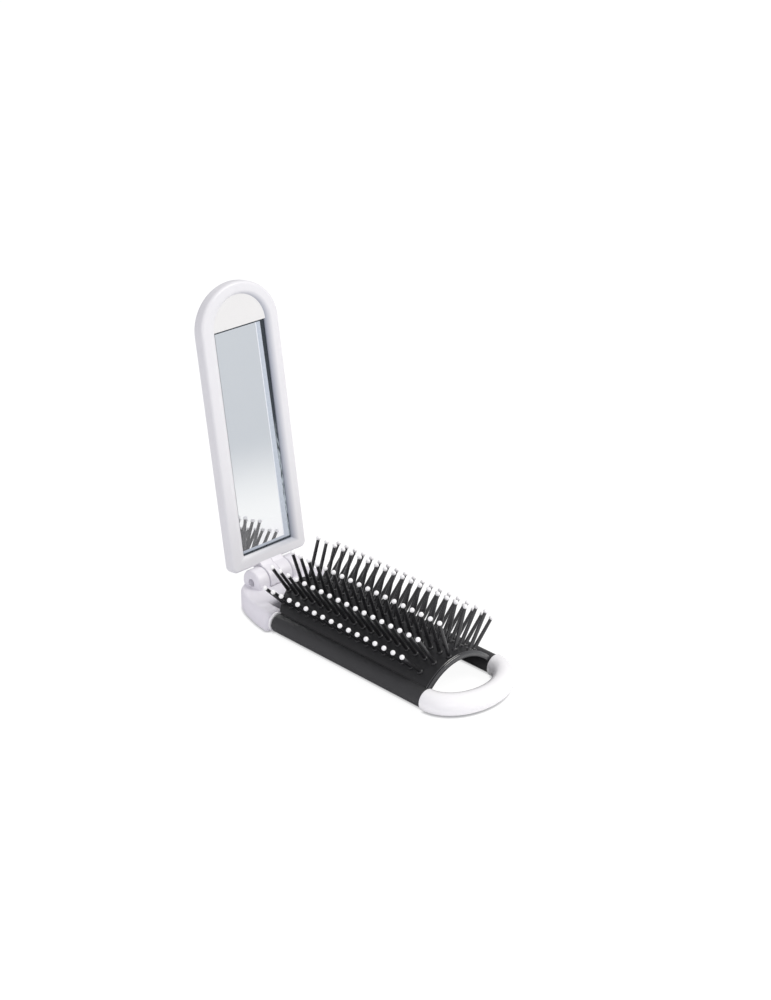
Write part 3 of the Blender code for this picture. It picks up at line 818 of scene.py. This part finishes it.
def lid_shell(look):
    """The cover: rounded back, side wall, soft rim, and the recess behind the panel."""
    profile = list(reversed(quarter_round(LID_BACK_ROUND, LID_BACK_X, -1.0)))
    profile += quarter_round(LID_FRONT_ROUND, LID_RIM_X, 1.0)
    profile += [(LID_RIM_WIDTH, LID_RIM_X), (LID_RIM_WIDTH, LID_FLOOR_X)]
    work = bmesh.new()
    add_skin(work, [lid_ring(inset, x) for inset, x in profile])
    seat(finish_mesh("lid_shell_skin", work, look, LID_PLACE), "lid", "white_gloss", "lid_shell")


def lid_lug(look):
    """The hinge barrel at the lid's foot, and the web that joins it to the cover."""
    web_top = LID_BOTTOM + LID_RIM_WIDTH / 2.0
    outline = [(WEB_FRONT_X, web_top), (WEB_BACK_X, web_top)]
    for step in range(BARREL_SIDES + 1):
        turn = pi + LUG_SWEEP * step / BARREL_SIDES
        outline.append((BARREL_RADIUS * cos(turn), BARREL_RADIUS * sin(turn)))
    upright = Matrix.Rotation(pi / 2.0, 4, "X")
    for name, side in (("front_lug", -1.0), ("rear_lug", 1.0)):
        place = LID_PLACE @ Matrix.Translation(side * LUG_HALF_WIDTH / 2.0 * Y_AXIS) @ upright
        seat(slab(name, outline, LUG_HALF_WIDTH / 2.0, EDGE_ROUND, look, place), "lid", "white_gloss")


def well_ring(share, x):
    """A ring between the start of the roll-over and the well's edge."""
    insets = [WELL_ROLL_START + share * (edge - WELL_ROLL_START)
              for edge in (WELL_SIDE_INSET, WELL_FOOT_INSET, WELL_HEAD_INSET)]
    return [Vector((x, y, z)) for y, z in lid_outline(*insets)]


def painted_shade_share(y):
    """How much of the well's painted shade shows: none on the left, all of it on the right."""
    share = min(max((y / LID_HALF_WIDTH - PAINTED_SHADE_START) / (1.0 - PAINTED_SHADE_START), 0.0), 1.0)
    return share * (2.0 - share)


def lid_panel(look):
    """The flat rim's inner part, and the well that it rolls over into, with painted shade held in a mesh attribute."""
    rings = [lid_ring(LID_RIM_WIDTH, LID_RIM_X)]
    depths = [0.0]
    for turn in quarter_turns(LID_ROUND_STEPS):
        drop = (WELL_LIP_X - LID_RIM_X) * (1.0 - cos(turn) ** WELL_ROLL_POWER)
        rings.append(well_ring(sin(turn) ** WELL_ROLL_POWER, LID_RIM_X + drop))
        depths.append(sin(turn) ** WELL_ROLL_POWER)
    rings.append(well_ring(1.0, WELL_FLOOR_X))
    depths.append(1.0)
    work = bmesh.new()
    painted_shade = work.verts.layers.float.new(WELL_PAINTED_SHADE)
    for row, depth in zip(add_skin(work, rings, capped=False), depths):
        for vert in row:
            # Painted shade: deeper down the roll-over and further right, the well is darker.
            vert[painted_shade] = depth * painted_shade_share(vert.co.y)
    seat(finish_mesh("lid_panel_skin", work, look, LID_PLACE), "lid", "white_satin", "lid_panel")


def lid_head(look):
    """The flat panel above the glass."""
    insets = (WELL_SIDE_INSET - HEAD_PANEL_OVERLAP, WELL_FOOT_INSET, WELL_HEAD_INSET - HEAD_PANEL_OVERLAP)
    arch = [(y, z) for y, z in lid_outline(*insets) if z > GLASS_HIGH.z]
    outline = [(arch[0][0], GLASS_HIGH.z)] + arch + [(arch[-1][0], GLASS_HIGH.z)]
    work = bmesh.new()
    add_skin(work, [[Vector((x, y, z)) for y, z in outline] for x in (HEAD_PANEL_X, WELL_FLOOR_X)])
    seat(finish_mesh("lid_head", work, look, LID_PLACE), "lid", "white_satin")


def mirror(looks):
    """The glass: silver with a ground band at its foot and right, a painted highlight line where the silver meets the
    band on its right, and a dark edge of painted shade and painted reflection that slopes into the well.
    """
    left, right, foot, head = GLASS_LOW.y, GLASS_HIGH.y, GLASS_LOW.z, GLASS_HIGH.z
    rows = (foot, foot + LINE_FOOT, foot + LINE_FOOT + BEVEL_FOOT, head - LINE_HEAD, head)
    work = bmesh.new()
    verts = []
    for z in rows:
        share = (head - z) / (head - foot)
        dark, pale = (at_head + share * (at_foot - at_head) for at_head, at_foot in (LINE_RIGHT, BEVEL_RIGHT))
        columns = (left, left + LINE_LEFT, right - dark - pale - GLEAM_WIDTH, right - dark - pale, right - dark, right)
        verts.append([work.verts.new((GLASS_EDGE_X if y == right or z == foot else SILVER_X, y, z)) for y in columns])
    # Each row of the glass from its foot up, as places in the list of looks.
    silver, band, edge, line, shadow = range(len(looks))
    table = ((shadow, shadow, shadow, shadow, shadow), (edge, band, band, band, edge),
             (edge, silver, line, band, edge), (shadow, shadow, shadow, shadow, shadow))
    for low, high, row in zip(verts, verts[1:], table):
        for column, place in enumerate(row):
            face = work.faces.new((low[column], low[column + 1], high[column + 1], high[column]))
            face.material_index = place
    made = finish_mesh("mirror_silver", work, looks[silver], LID_PLACE)
    for look in looks[band:]:
        made.data.materials.append(look)
    seat(made, "lid", "mirror", "mirror_glass")


def mirror_tape(look):
    """The foam tape keeps its CAD shape, since the glass hides it."""
    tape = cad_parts["mirror_tape"].data
    tape.materials.clear()
    tape.materials.append(look)


# The stage.


def camera():
    made = bpy.data.objects.new("camera", bpy.data.cameras.new("camera"))
    bpy.context.scene.collection.objects.link(made)
    made.location = CAMERA_PLACE
    made.rotation_euler = (CAMERA_AIM - CAMERA_PLACE).to_track_quat("-Z", "Y").to_euler()
    made.data.lens = CAMERA_LENS
    made.data.sensor_width = CAMERA_SENSOR
    bpy.context.scene.camera = made


def seen_paper(nodes, links):
    """The floor as the camera sees it: a white glow that dims where things touch it, as painted contact shade, and a
    soft shadow.
    """
    shadowed = nodes.new("ShaderNodeBsdfDiffuse")
    shadowed.inputs["Color"].default_value = (*FLOOR_SHADOW, 1.0)
    glow = nodes.new("ShaderNodeEmission")
    # Painted contact shade: ambient occlusion dims the glow where things come close.
    painted_contact = nodes.new("ShaderNodeAmbientOcclusion")
    painted_contact.inputs["Distance"].default_value = CONTACT_REACH
    links.new(tint(nodes, links, painted_contact.outputs["AO"], FLOOR_PAINTED_CONTACT, FLOOR_OPEN), glow.inputs["Color"])
    seen = nodes.new("ShaderNodeAddShader")
    links.new(shadowed.outputs["BSDF"], seen.inputs[0])
    links.new(glow.outputs["Emission"], seen.inputs[1])
    return seen.outputs["Shader"]


def floor_look():
    """White paper. The camera sees it pure white with soft shadows, and light bounces off it as off white paper.
    In the mirror it shows a painted reflection that fades to grey away from the brush, as a table does."""
    made, nodes, links, shader = node_material("floor")
    shader.inputs["Base Color"].default_value = (*FLOOR_COLOUR, 1.0)
    shader.inputs["Roughness"].default_value = 1.0
    shader.inputs["Specular IOR Level"].default_value = 0.0
    rays = nodes.new("ShaderNodeLightPath")
    direct = blend(nodes, links, rays.outputs["Is Camera Ray"], shader.outputs["BSDF"], seen_paper(nodes, links))
    place = nodes.new("ShaderNodeTexCoord")
    reach = nodes.new("ShaderNodeVectorMath")
    reach.operation = "LENGTH"
    links.new(place.outputs["Object"], reach.inputs[0])
    distance = reach.outputs["Value"]
    # Painted reflection: what the mirror sees of the floor turns grey away from the brush.
    grey = map_range(nodes, links, distance, GREY_START, GREY_END, interpolation="SMOOTHSTEP")
    glow = nodes.new("ShaderNodeEmission")
    links.new(tint(nodes, links, grey, WHITE, FLOOR_PAINTED_FAR), glow.inputs["Color"])
    away = map_range(nodes, links, distance, SHADOW_END, GREY_START)
    reflected = product(nodes, links, rays.outputs["Is Glossy Ray"], away)
    surface = blend(nodes, links, reflected, direct, glow.outputs["Emission"])
    links.new(surface, nodes["Material Output"].inputs["Surface"])
    return made


def surroundings():
    """A pale sky that lights the brush, which the camera sees as white."""
    world = bpy.data.worlds.new("world")
    bpy.context.scene.world = world
    world.use_nodes = True
    nodes, links = world.node_tree.nodes, world.node_tree.links
    sky = nodes["Background"]
    sky.inputs["Color"].default_value = (*SKY_COLOUR, 1.0)
    sky.inputs["Strength"].default_value = SKY_STRENGTH
    paper = nodes.new("ShaderNodeBackground")
    paper.inputs["Color"].default_value = (*WHITE, 1.0)
    rays = nodes.new("ShaderNodeLightPath")
    seen = blend(nodes, links, rays.outputs["Is Camera Ray"], sky.outputs["Background"], paper.outputs["Background"])
    links.new(seen, nodes["World Output"].inputs["Surface"])


def lamp(name, place, size, power, colour):
    """A round lamp that shines at the brush."""
    made = bpy.data.objects.new(name, bpy.data.lights.new(name, "AREA"))
    bpy.context.scene.collection.objects.link(made)
    made.data.shape = "DISK"
    made.data.size = size
    made.data.energy = power
    made.data.color = colour
    made.location = place
    made.rotation_euler = (LAMP_AIM - Vector(place)).to_track_quat("-Z", "Y").to_euler()


def stage():
    """The floor, the surroundings and the lamps."""
    bpy.context.scene.view_settings.view_transform = "Standard"
    work = bmesh.new()
    bmesh.ops.create_grid(work, x_segments=FLOOR_CELLS, y_segments=FLOOR_CELLS, size=FLOOR_HALF)
    ground = finish_mesh("floor", work, floor_look())
    surroundings()
    for values in LAMPS:
        lamp(*values)


def build():
    """The whole picture. The lid's pieces come last."""
    camera()
    stage()
    gloss = gloss_white()
    cover = lid_white()
    satin = satin_white()
    sleeve_look = sleeve_black()
    pad_look = pad_black()
    rim_look = rim_black_lit_copy()
    shaft_look = pin_black()
    ball_look = ball_white()
    bow(gloss)
    yoke(satin)
    hinge_pin(steel())
    collar("front_collar", -1.0, gloss)
    collar("rear_collar", 1.0, gloss)
    sleeve("front_sleeve", -1.0, "front_grip", sleeve_look, pad_look, rim_look)
    sleeve("rear_sleeve", 1.0, "rear_grip", sleeve_look, pad_look, rim_look)
    for number, stagger in enumerate(ROW_STAGGERS, start=1):
        pad_row(number, stagger, pad_look, rim_look, shaft_look, ball_look)
    lid_shell(cover)
    lid_lug(satin)
    lid_panel(well_white_painted_shade())
    lid_head(head_white_lit_copy())
    mirror((silvered(), ground_edge(), edge_shadow("edge_shadow", BRIGHT_GLINT), gleam(),
            edge_shadow("end_shadow", FAINT_GLINT)))
    mirror_tape(foam())


build()
